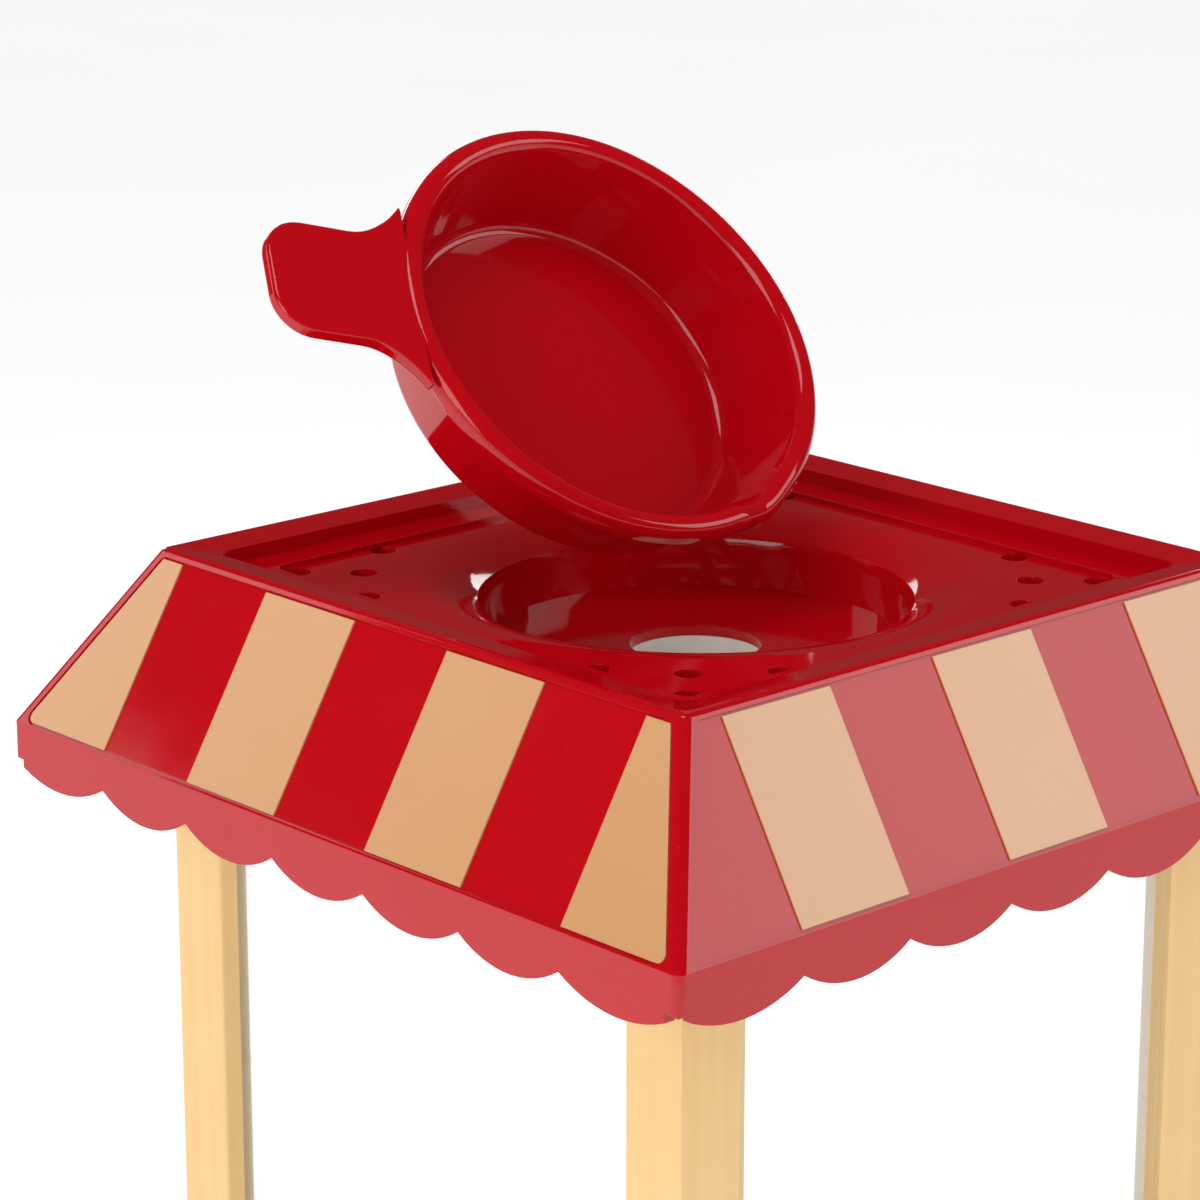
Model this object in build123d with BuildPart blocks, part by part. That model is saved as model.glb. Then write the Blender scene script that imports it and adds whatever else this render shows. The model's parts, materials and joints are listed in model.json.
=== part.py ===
from build123d import *
import os
from math import cos, hypot, radians, sin

# Tabletop popcorn cart with a hipped roof, a kernel hopper in the roof and a hot-air popper in the base.
# Millimetres. +Z is up, the origin is on the table under the middle of the cabinet, and the front,
# with the clear door, faces -Y.

# ---- driving dimensions: heights above the table ----
Z_BASE = 34  # underside of the base housing
Z_DECK = 146  # top edge of the base housing, where the deck lies
DECK_T = 4
Z_POST = Z_DECK + DECK_T  # where the corner posts stand
Z_EAVE = 361.4  # crease between the sloping roof and the hanging valance
ROOF_RISE = 38.6
Z_RIM = Z_EAVE + ROOF_RISE

# ---- roof ----
EAVE = 206.3  # square, across the crease
ROOF_TOP = 160  # square, across the top of the slopes
ROOF_RUN = (EAVE - ROOF_TOP) / 2
SLOPE = hypot(ROOF_RUN, ROOF_RISE)
SHELL = 2.5  # moulded wall
HIP_R = 2
TRAY = 143  # square recess in the roof's top
TRAY_DEPTH = 5
TRAY_FLOOR = 126  # square floor of the recess, inside a flat border
BORDER_DEPTH = 4
TRAY_CORNER_R = 3
RIM_OUTER = 157  # square, where the rim's top starts to slope into the recess
RIM_FALL = 1.1
Z_TRAY = Z_RIM - TRAY_DEPTH
VALANCE = 8  # crease to the corners between the lobes, before they are rounded
LOBE = 4.4  # how far a lobe hangs below those corners
LOBE_CORNER_R = 7
BANDS = 7  # stripes on each slope, one lobe under each
BAND = 28.4
LABEL_T = 0.35
LABEL_LOW = 1  # label to the crease
LABEL_HIGH = 2  # label to the rim
LABEL_HIP = 3.6  # label to the hip, measured level
LABEL_CORNER_R = 1.5
PANEL_DEPTH = 0.5  # the labels lie in a sunk panel
PANEL_MARGIN = 0.5  # panel edge to the labels
Z_CEILING = Z_EAVE - 5.5
CEILING_T = 2.5

# ---- hopper in the roof ----
HOPPER_R = 46
FLARE_R = 60
FLARE_DROP = 4
SEAT_DEPTH = 10.5
SEAT_R = 45.2
Z_LIP = Z_TRAY - FLARE_DROP
Z_SEAT = Z_LIP - SEAT_DEPTH
DROP_R = 14  # hole that the kernels fall through
VENT_R = 2.9
VENT_ARC_R = 70
VENT_STEP = 15  # degrees between vents on the arc
VENT_OUTER_R = 84

# ---- measuring cup, held tipped over the hopper ----
CUP_RIM_R = 51
CUP_MOUTH_R = 45.5
CUP_FLOOR_R = 40.5
CUP_DEPTH = 23
CUP_WALL = 2
CUP_ROLL = 4.5  # height of the rolled rim
ROLL_OUTSIDE = 2.8  # how far the rolled rim falls to its outer edge
ROLL_INSIDE = 2.2  # and to its inner edge
CUP_CORNER_R = 3
CUP_TILT = 48
CUP_AT = (0, 24.5, Z_RIM + 45)
TAB_ANGLE = 160.7
TAB_L = 31
TAB_W = 27
TAB_T = 3.4

# ---- cabinet ----
CABINET = 158  # square, across the outer faces of the posts
POST_W = 15.5
POST_T = 5
PANE_T = 2
PANE_GAP = 0.3

# ---- base ----
BASE = 168
BASE_R = 10
BASE_WALL = 3
BOTTOM_T = 3
BOSS_AT = 74.5
BOSS_W = 13
SCREW_R = 1.7

# ---- popper ----
CHAMBER_R = 41  # inside
CHAMBER_WALL = 1
CHAMBER_BOTTOM = 102
CHAMBER_TOP = 160
DUCT_R = 45
DUCT_WALL = 2
BRACKET_Z = 66
BRACKET_T = 2
BRACKET_R = 48
FAN_R = 34
FAN_Z = 71
SHAFT_R = 1.5
RUNNING = 0.05

HEATER_Z = 85
PAD_Z = 118  # middle of the flat pads on the duct
MOTOR_R = 17
MOTOR_L = 25

# ---- electrics ----
SWITCH_X = 50
SWITCH_Z = 92
SWITCH_W = 21
SWITCH_H = 14
ROCKER_W = 15
ROCKER_H = 10
GLAND_X = -50
GLAND_Z = 60
GLAND_R = 5
BOARD_X = -63
BOARD_Z = 46

# ---- running gear ----
WHEEL_R = 54
TYRE_T = 2.5
RIM_T = 6
WHEEL_W = 10
WHEEL_X = 93  # middle plane of a wheel
AXLE_Y = 48
AXLE_R = 4
HUB_R = 12
SPOKES = 10
LEG_AT = (54, -62)
FOOT_T = 5
HANDLE_Y = 96
HANDLE_Z = 128
HANDLE_R = 4.2
HANDLE_EYE_R = 6.5

# ---- door ----
DOOR_W = 124
DOOR_HINGE_W = 112  # the narrower top of the door, between its hangers
DOOR_T = 2.4
DOOR_GAP = 2  # under the door
DOOR_Y = -77.5  # middle of the door's thickness, and the pin line
DOOR_Z = 343
PIN_R = 2

os.makedirs("parts", exist_ok=True)


def save(piece, label):
    piece.part.label = label
    export_step(piece.part, f"parts/{label}.step")


def slope_plane(turn):
    """Plane on one roof slope: its X runs along the crease, its Y up the slope. turn is in degrees about Z."""
    a = radians(turn)
    out = Vector(sin(a), -cos(a), 0)
    return Plane(
        origin=out * (EAVE / 2) + Vector(0, 0, Z_EAVE),
        x_dir=(cos(a), sin(a), 0),
        z_dir=out * ROOF_RISE + Vector(0, 0, ROOF_RUN),
    )


def side_plane(turn, distance):
    """Upright plane facing out of one side of the cart, its Y pointing up."""
    a = radians(turn)
    out = Vector(sin(a), -cos(a), 0)
    return Plane(origin=out * distance, x_dir=(cos(a), sin(a), 0), z_dir=out)


def below_lobes(plane):
    """Everything below the waved edge of one side, as a sketch on that side's upright plane."""
    inner = BAND * (BANDS - 2) / 2
    ends = [-EAVE / 2] + [-inner + BAND * i for i in range(BANDS - 1)] + [EAVE / 2]
    z = Z_EAVE - VALANCE
    low = z - LOBE - 5
    with BuildSketch(plane) as below:
        with BuildLine():
            for left, right in zip(ends, ends[1:]):
                ThreePointArc((left, z), ((left + right) / 2, z - LOBE), (right, z))
            Polyline((EAVE / 2, z), (EAVE / 2, low), (-EAVE / 2, low), (-EAVE / 2, z))
        make_face()
        level = below.vertices().filter_by(lambda v: abs(v.Z - z) < 0.01)
        fillet(level.filter_by(lambda v: hypot(v.X, v.Y) < hypot(EAVE / 2, inner + 1)), LOBE_CORNER_R)
    return below.sketch


def panel_outline(plane):
    """Outline of the sunk panel that holds one slope's labels."""
    low, high = LABEL_LOW - PANEL_MARGIN, SLOPE - LABEL_HIGH + PANEL_MARGIN
    half_low, half_high = [
        EAVE / 2 - LABEL_HIP + PANEL_MARGIN - height * ROOF_RUN / SLOPE for height in (low, high)
    ]
    with BuildSketch(plane) as outline:
        with BuildLine():
            Polyline((-half_low, low), (half_low, low), (half_high, high), (-half_high, high), close=True)
        make_face()
        fillet(outline.vertices().group_by(Axis.Z)[0], LABEL_CORNER_R + PANEL_MARGIN)
    return outline.sketch


def canopy():
    skirt = VALANCE + LOBE
    tray_floor = Z_TRAY - SHELL
    narrowing = ROOF_RUN / ROOF_RISE
    inner_top = ROOF_TOP + 2 * (Z_RIM - tray_floor) * narrowing - 2 * SHELL * SLOPE / ROOF_RISE
    turns = (0, 90, 180, 270)
    edges_below = [below_lobes(side_plane(turn, EAVE / 2 + 1)) for turn in turns]
    panels = [panel_outline(slope_plane(turn)) for turn in turns]
    with BuildPart() as shell:
        with BuildSketch(Plane.XY.offset(Z_EAVE)):
            RectangleRounded(EAVE, EAVE, HIP_R)
        with BuildSketch(Plane.XY.offset(Z_RIM)):
            RectangleRounded(ROOF_TOP, ROOF_TOP, HIP_R)
        loft()
        fillet(shell.faces().sort_by(Axis.Z)[-1].edges(), 1.2)
        with BuildSketch(Plane.XY.offset(Z_EAVE)):
            RectangleRounded(EAVE, EAVE, HIP_R)
        extrude(amount=-skirt)
        with BuildSketch(Plane.XY.offset(Z_EAVE)):
            RectangleRounded(EAVE - 2 * SHELL, EAVE - 2 * SHELL, HIP_R - 1)
        extrude(amount=-skirt, mode=Mode.SUBTRACT)
        with BuildSketch(Plane.XY.offset(Z_EAVE)):
            RectangleRounded(EAVE - 2 * SHELL, EAVE - 2 * SHELL, HIP_R - 1)
        with BuildSketch(Plane.XY.offset(tray_floor)):
            RectangleRounded(inner_top, inner_top, HIP_R - 1)
        loft(mode=Mode.SUBTRACT)
        for lobes in edges_below:
            extrude(lobes, amount=-SHELL - 2, mode=Mode.SUBTRACT)
        for panel in panels:
            extrude(panel, amount=-PANEL_DEPTH, mode=Mode.SUBTRACT)
        with BuildSketch(Plane.XY.offset(Z_RIM)):
            RectangleRounded(RIM_OUTER, RIM_OUTER, TRAY_CORNER_R)
        with BuildSketch(Plane.XY.offset(Z_RIM - RIM_FALL)):
            RectangleRounded(TRAY, TRAY, TRAY_CORNER_R)
        loft(mode=Mode.SUBTRACT)
        with BuildSketch(Plane.XY.offset(Z_RIM)):
            RectangleRounded(TRAY, TRAY, TRAY_CORNER_R)
        extrude(amount=-BORDER_DEPTH, mode=Mode.SUBTRACT)
        with BuildSketch(Plane.XY.offset(Z_RIM)):
            RectangleRounded(TRAY_FLOOR, TRAY_FLOOR, TRAY_CORNER_R)
        extrude(amount=-TRAY_DEPTH, mode=Mode.SUBTRACT)
        with BuildSketch(Plane.XY.offset(tray_floor)):
            Circle(HOPPER_R + SHELL + 1)
        extrude(amount=Z_SEAT - SHELL - tray_floor)
        with BuildSketch(Plane.XZ):
            with BuildLine():
                mouth = TangentArc((FLARE_R, Z_TRAY), (HOPPER_R, Z_LIP), tangent=(-1, 0))
                Polyline(mouth @ 1, (SEAT_R, Z_SEAT), (0, Z_SEAT), (0, Z_RIM), (FLARE_R, Z_RIM), mouth @ 0)
            make_face()
        revolve(axis=Axis.Z, mode=Mode.SUBTRACT)
        with BuildSketch(Plane.XY.offset(Z_SEAT)):
            Circle(DROP_R)
        extrude(amount=-SHELL, mode=Mode.SUBTRACT)
        with BuildSketch(Plane.XY.offset(Z_TRAY)):
            for corner in (45, 135, 225, 315):
                with PolarLocations(VENT_ARC_R, 3, corner - VENT_STEP, 2 * VENT_STEP, endpoint=True):
                    Circle(VENT_R)
                with PolarLocations(VENT_OUTER_R, 1, corner):
                    Circle(VENT_R)
        extrude(amount=-SHELL, mode=Mode.SUBTRACT)
    save(shell, "canopy_shell")


def label(plane, band):
    """Outline of one cream label: the part of a band that lies inside the slope's border."""
    low, high = LABEL_LOW, SLOPE - LABEL_HIGH
    left = BAND * (band - BANDS / 2)
    right = left + BAND
    hip_low, hip_high = [EAVE / 2 - LABEL_HIP - height * ROOF_RUN / SLOPE for height in (low, high)]
    left_low = -hip_low if band == 0 else left
    right_low = hip_low if band == BANDS - 1 else right
    left_high, right_high = max(left, -hip_high), min(right, hip_high)
    with BuildSketch(plane) as outline:
        with BuildLine():
            Polyline((left_low, low), (right_low, low), (right_high, high), (left_high, high), close=True)
        make_face()
        corners = outline.vertices().group_by(Axis.Z)[0]
        if band in (0, BANDS - 1):
            fillet(max(corners, key=lambda v: hypot(v.X, v.Y)), LABEL_CORNER_R)
    return outline.sketch


def stripe_labels():
    for name, turn, first in (("front", 0, 1), ("right", 90, 0), ("back", 180, 1), ("left", 270, 0)):
        panel = slope_plane(turn).offset(-PANEL_DEPTH)
        outlines = [label(panel, band) for band in range(first, BANDS, 2)]
        with BuildPart() as stripes:
            for outline in outlines:
                extrude(outline, amount=LABEL_T)
        save(stripes, f"stripe_labels_{name}")


def roof_inside():
    inside = EAVE - 2 * SHELL
    with BuildPart() as ceiling:
        with BuildSketch(Plane.XY.offset(Z_CEILING)):
            RectangleRounded(inside, inside, HIP_R - 1)
            Circle(DROP_R + SHELL + 0.3, mode=Mode.SUBTRACT)
            with GridLocations(CABINET - POST_T, CABINET - POST_T, 2, 2):
                Circle(SCREW_R, mode=Mode.SUBTRACT)
        extrude(amount=CEILING_T)
    save(ceiling, "ceiling_panel")

    top = Z_SEAT - SHELL
    with BuildPart() as chute:
        with BuildSketch(Plane.XZ):
            with BuildLine():
                Polyline(
                    (DROP_R, top),
                    (DROP_R + 9, top),
                    (DROP_R + 9, top - 2),
                    (DROP_R + SHELL, top - 2),
                    (DROP_R + SHELL, Z_CEILING - 18),
                    (DROP_R, Z_CEILING - 22),
                    close=True,
                )
            make_face()
        revolve(axis=Axis.Z)
    save(chute, "kernel_chute")

    with BuildPart() as screws:
        with BuildSketch(Plane.XY.offset(Z_CEILING + CEILING_T)):
            with GridLocations(CABINET - POST_T, CABINET - POST_T, 2, 2):
                Circle(3.4)
        extrude(amount=2)
        with BuildSketch(Plane.XY.offset(Z_CEILING + CEILING_T)):
            with GridLocations(CABINET - POST_T, CABINET - POST_T, 2, 2):
                Circle(SCREW_R)
        extrude(amount=-12)
    save(screws, "ceiling_screws")


def posts():
    half = CABINET / 2
    for name, x, y in (
        ("front_left", -1, -1), ("front_right", 1, -1), ("back_left", -1, 1), ("back_right", 1, 1)
    ):
        with BuildPart() as post:
            with BuildSketch(Plane.XY.offset(Z_POST)):
                with Locations((x * (half - POST_W / 2), y * (half - POST_T / 2))):
                    Rectangle(POST_W, POST_T)
                with Locations((x * (half - POST_T / 2), y * (half - POST_W / 2))):
                    Rectangle(POST_T, POST_W)
            extrude(amount=Z_CEILING - Z_POST)
            with BuildSketch(Plane.XY.offset(Z_CEILING)):
                with Locations((x * (half - POST_T / 2), y * (half - POST_T / 2))):
                    Circle(SCREW_R)
            extrude(amount=-12 + CEILING_T, mode=Mode.SUBTRACT)
        save(post, f"post_{name}")


def panes():
    outer = CABINET / 2 - POST_T - PANE_GAP
    height = Z_CEILING - Z_POST - 2 * PANE_GAP
    middle = (Z_CEILING + Z_POST) / 2
    narrow = 2 * (outer - PANE_T - PANE_GAP)
    for name, turn, width in (("back", 180, 2 * outer), ("left", 270, narrow), ("right", 90, narrow)):
        with BuildPart() as pane:
            with BuildSketch(side_plane(turn, outer)):
                with Locations((0, middle)):
                    Rectangle(width, height)
            extrude(amount=-PANE_T)
        save(pane, f"window_{name}")


def base_shell():
    inner = BASE - 2 * BASE_WALL
    with BuildPart() as housing:
        with BuildSketch(Plane.XY.offset(Z_BASE)):
            RectangleRounded(BASE, BASE, BASE_R)
        extrude(amount=Z_DECK - Z_BASE)
        fillet(housing.edges().group_by(Axis.Z)[0], 3)
        with BuildSketch(Plane.XY.offset(Z_BASE)):
            RectangleRounded(inner, inner, BASE_R - BASE_WALL)
        extrude(amount=Z_DECK - Z_BASE, mode=Mode.SUBTRACT)
        with BuildSketch(Plane.XY.offset(Z_BASE + BOTTOM_T)):
            with GridLocations(2 * BOSS_AT, 2 * BOSS_AT, 2, 2):
                Rectangle(BOSS_W, BOSS_W)
        extrude(amount=22)
        with BuildSketch(Plane.XY.offset(Z_BASE + BOTTOM_T)):
            with GridLocations(2 * BOSS_AT, 2 * BOSS_AT, 2, 2):
                Circle(SCREW_R)
        extrude(amount=12, mode=Mode.SUBTRACT)
        with BuildSketch(Plane.YZ):
            with Locations((AXLE_Y, WHEEL_R)):
                Circle(AXLE_R)
        extrude(amount=BASE, both=True, mode=Mode.SUBTRACT)
        with BuildSketch(side_plane(0, BASE / 2)):
            with Locations((SWITCH_X, SWITCH_Z)):
                Rectangle(SWITCH_W, SWITCH_H)
        extrude(amount=-BASE_WALL, mode=Mode.SUBTRACT)
        with BuildSketch(side_plane(180, BASE / 2)):
            with Locations((GLAND_X, GLAND_Z)):
                Circle(GLAND_R)
            with GridLocations(11, 0, 7, 1):
                with Locations((0, GLAND_Z + 38)):
                    SlotOverall(24, 4, rotation=90)
        extrude(amount=-BASE_WALL, mode=Mode.SUBTRACT)
    save(housing, "base_housing")

    with BuildPart() as bottom:
        with BuildSketch(Plane.XY.offset(Z_BASE)):
            RectangleRounded(inner - 0.4, inner - 0.4, BASE_R - BASE_WALL)
            with GridLocations(2 * BOSS_AT, 2 * BOSS_AT, 2, 2):
                Circle(SCREW_R, mode=Mode.SUBTRACT)
            with PolarLocations(32, 12):
                SlotOverall(16, 4, mode=Mode.SUBTRACT)
        extrude(amount=BOTTOM_T)
        with BuildSketch(Plane.XY.offset(Z_BASE + BOTTOM_T)):
            with PolarLocations(BRACKET_R - 4, 3, 30):
                Circle(3.5)
            with Locations((BOARD_X, -12), (BOARD_X, 12)):
                Circle(2.5)
        extrude(amount=BOARD_Z - Z_BASE - BOTTOM_T)
        with BuildSketch(Plane.XY.offset(BOARD_Z)):
            with PolarLocations(BRACKET_R - 4, 3, 30):
                Circle(3.5)
        extrude(amount=BRACKET_Z - BOARD_Z)
    save(bottom, "bottom_plate")

    with BuildPart() as screws:
        with BuildSketch(Plane.XY.offset(Z_BASE)):
            with GridLocations(2 * BOSS_AT, 2 * BOSS_AT, 2, 2):
                Circle(3.4)
        extrude(amount=-2)
        with BuildSketch(Plane.XY.offset(Z_BASE)):
            with GridLocations(2 * BOSS_AT, 2 * BOSS_AT, 2, 2):
                Circle(SCREW_R)
        extrude(amount=14)
    save(screws, "base_screws")

    with BuildPart() as deck:
        with BuildSketch(Plane.XY.offset(Z_DECK)):
            RectangleRounded(BASE + 6, BASE + 6, BASE_R + 3)
            Circle(CHAMBER_R + CHAMBER_WALL + 0.2, mode=Mode.SUBTRACT)
        extrude(amount=DECK_T)
        fillet(deck.faces().sort_by(Axis.Z)[-1].outer_wire().edges(), 1.5)
    save(deck, "popcorn_deck")


def popper():
    outer = CHAMBER_R + CHAMBER_WALL
    with BuildPart() as chamber:
        with BuildSketch(Plane.XZ):
            with BuildLine():
                Polyline(
                    (0, CHAMBER_BOTTOM),
                    (outer, CHAMBER_BOTTOM),
                    (outer, Z_POST),
                    (outer + 5, Z_POST),
                    (outer + 5, Z_POST + 1),
                    (outer, Z_POST + 1),
                    (outer, CHAMBER_TOP),
                    (CHAMBER_R, CHAMBER_TOP),
                    (CHAMBER_R, CHAMBER_BOTTOM + 1),
                    (0, CHAMBER_BOTTOM + 1),
                    close=True,
                )
            make_face()
        revolve(axis=Axis.Z)
        with BuildSketch(Plane.XY.offset(CHAMBER_BOTTOM + 4)):
            with PolarLocations(CHAMBER_R, 18):
                Rectangle(4, 2)
        extrude(amount=9, mode=Mode.SUBTRACT)
    save(chamber, "popping_chamber")

    with BuildPart() as duct:
        with BuildSketch(Plane.XY.offset(BRACKET_Z + BRACKET_T)):
            Circle(DUCT_R + DUCT_WALL)
        extrude(amount=Z_DECK - BRACKET_Z - BRACKET_T)
        for turn in (90, 180):
            with BuildSketch(side_plane(turn, DUCT_R + 4)):
                with Locations((0, PAD_Z)):
                    Rectangle(18, 22)
            extrude(amount=-4)
        with BuildSketch(Plane.XY.offset(BRACKET_Z + BRACKET_T)):
            Circle(DUCT_R)
        extrude(amount=Z_DECK - BRACKET_Z - BRACKET_T, mode=Mode.SUBTRACT)
    save(duct, "air_duct")

    with BuildPart() as bracket:
        with BuildSketch(Plane.XY.offset(BRACKET_Z)):
            Circle(BRACKET_R)
            Circle(3, mode=Mode.SUBTRACT)
            with PolarLocations(27, 8, 22.5):
                SlotOverall(16, 7, mode=Mode.SUBTRACT)
        extrude(amount=BRACKET_T)
    save(bracket, "motor_bracket")

    with BuildPart() as can:
        with BuildSketch(Plane.XY.offset(BRACKET_Z)):
            Circle(MOTOR_R)
        extrude(amount=-MOTOR_L)
        fillet(can.edges().group_by(Axis.Z)[0], 2)
        with BuildSketch(Plane.XY.offset(BRACKET_Z)):
            Circle(SHAFT_R + RUNNING)
        extrude(amount=-MOTOR_L + 4, mode=Mode.SUBTRACT)
    save(can, "motor_can")

    with BuildPart() as shaft:
        with BuildSketch(Plane.XY.offset(BRACKET_Z - MOTOR_L + 4.3)):
            Circle(SHAFT_R)
        extrude(amount=FAN_Z + 12 - (BRACKET_Z - MOTOR_L + 4.3))
    save(shaft, "motor_shaft")

    with BuildPart() as fan:
        with BuildSketch(Plane.XY.offset(FAN_Z)):
            Circle(FAN_R)
        extrude(amount=1.5)
        with BuildSketch(Plane.XY.offset(FAN_Z + 1.5)):
            Circle(6)
            with PolarLocations(20, 9):
                Rectangle(26, 1.4, rotation=25)
        extrude(amount=9)
        with BuildSketch(Plane.XY.offset(FAN_Z)):
            Circle(SHAFT_R)
        extrude(amount=10.5, mode=Mode.SUBTRACT)
    save(fan, "fan_impeller")

    with BuildPart() as formers:
        with BuildSketch(Plane.XY.offset(HEATER_Z)):
            Rectangle(2 * DUCT_R - 0.1, 0.8)
            Rectangle(0.8, 2 * DUCT_R - 0.1)
        extrude(amount=12)
    save(formers, "mica_formers")

    with BuildPart() as coils:
        for turn_r in (24, 30, 36):
            with BuildSketch(Plane.XZ):
                with Locations((turn_r, HEATER_Z + 12.9)):
                    Circle(0.9)
            revolve(axis=Axis.Z)
    save(coils, "heating_coil")

    with BuildPart() as thermostat:
        with BuildSketch(side_plane(180, DUCT_R + 4)):
            with Locations((0, PAD_Z)):
                Circle(7.5)
        extrude(amount=6)
        with BuildSketch(side_plane(180, DUCT_R + 10)):
            with Locations((-4, PAD_Z), (4, PAD_Z)):
                Rectangle(3, 0.8)
        extrude(amount=7)
    save(thermostat, "thermostat")

    with BuildPart() as fuse:
        with BuildSketch(side_plane(90, DUCT_R + 4)):
            with Locations((0, PAD_Z)):
                Rectangle(4.4, 14)
        extrude(amount=4.4)
        fillet(fuse.edges().filter_by(Axis.Z).group_by(Axis.X)[-1], 1.5)
    save(fuse, "thermal_fuse")

    with BuildPart() as board:
        with BuildSketch(Plane.XY.offset(BOARD_Z)):
            with Locations((BOARD_X, 0)):
                Rectangle(22, 40)
        extrude(amount=1.6)
        with BuildSketch(Plane.XY.offset(BOARD_Z + 1.6)):
            with Locations((BOARD_X - 4, 0)):
                with GridLocations(0, 8, 1, 4):
                    Rectangle(6, 3)
        extrude(amount=3)
        with BuildSketch(Plane.XY.offset(BOARD_Z + 1.6)):
            with Locations((BOARD_X + 5, 0)):
                Circle(4)
        extrude(amount=11)
    save(board, "rectifier_board")


def electrics_outside():
    face = BASE / 2
    with BuildPart() as body:
        with BuildSketch(side_plane(0, face)):
            with Locations((SWITCH_X, SWITCH_Z)):
                RectangleRounded(SWITCH_W + 5, SWITCH_H + 5, 1.5)
        extrude(amount=2)
        with BuildSketch(side_plane(0, face)):
            with Locations((SWITCH_X, SWITCH_Z)):
                Rectangle(SWITCH_W - 0.2, SWITCH_H - 0.2)
        extrude(amount=-16)
        with BuildSketch(side_plane(0, face + 2)):
            with Locations((SWITCH_X, SWITCH_Z)):
                Rectangle(ROCKER_W + 0.8, ROCKER_H + 0.8)
        extrude(amount=-10, mode=Mode.SUBTRACT)
    save(body, "switch_body")

    with BuildPart() as rocker:
        half = ROCKER_H / 2 - 0.3
        with BuildSketch(Plane.YZ.offset(SWITCH_X - ROCKER_W / 2)):
            with BuildLine():
                Polyline(
                    (-face - 3.4, SWITCH_Z + half),
                    (-face - 1.8, SWITCH_Z),
                    (-face - 3.4, SWITCH_Z - half),
                    (-face + 1.5, SWITCH_Z - half),
                    (-face + 4, SWITCH_Z),
                    (-face + 1.5, SWITCH_Z + half),
                    close=True,
                )
            make_face()
        extrude(amount=ROCKER_W)
    save(rocker, "switch_rocker")

    with BuildPart() as gland:
        plane = side_plane(180, face)
        with BuildSketch(plane):
            with Locations((GLAND_X, GLAND_Z)):
                Circle(GLAND_R + 3)
        extrude(amount=3)
        fillet(gland.edges().group_by(Axis.Y)[-1], 1)
        with BuildSketch(plane):
            with Locations((GLAND_X, GLAND_Z)):
                Circle(GLAND_R)
        extrude(amount=-8)
        with BuildSketch(side_plane(180, face + 3)):
            with Locations((GLAND_X, GLAND_Z)):
                Circle(3.3)
        extrude(amount=-11, mode=Mode.SUBTRACT)
    save(gland, "cord_gland")


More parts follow.
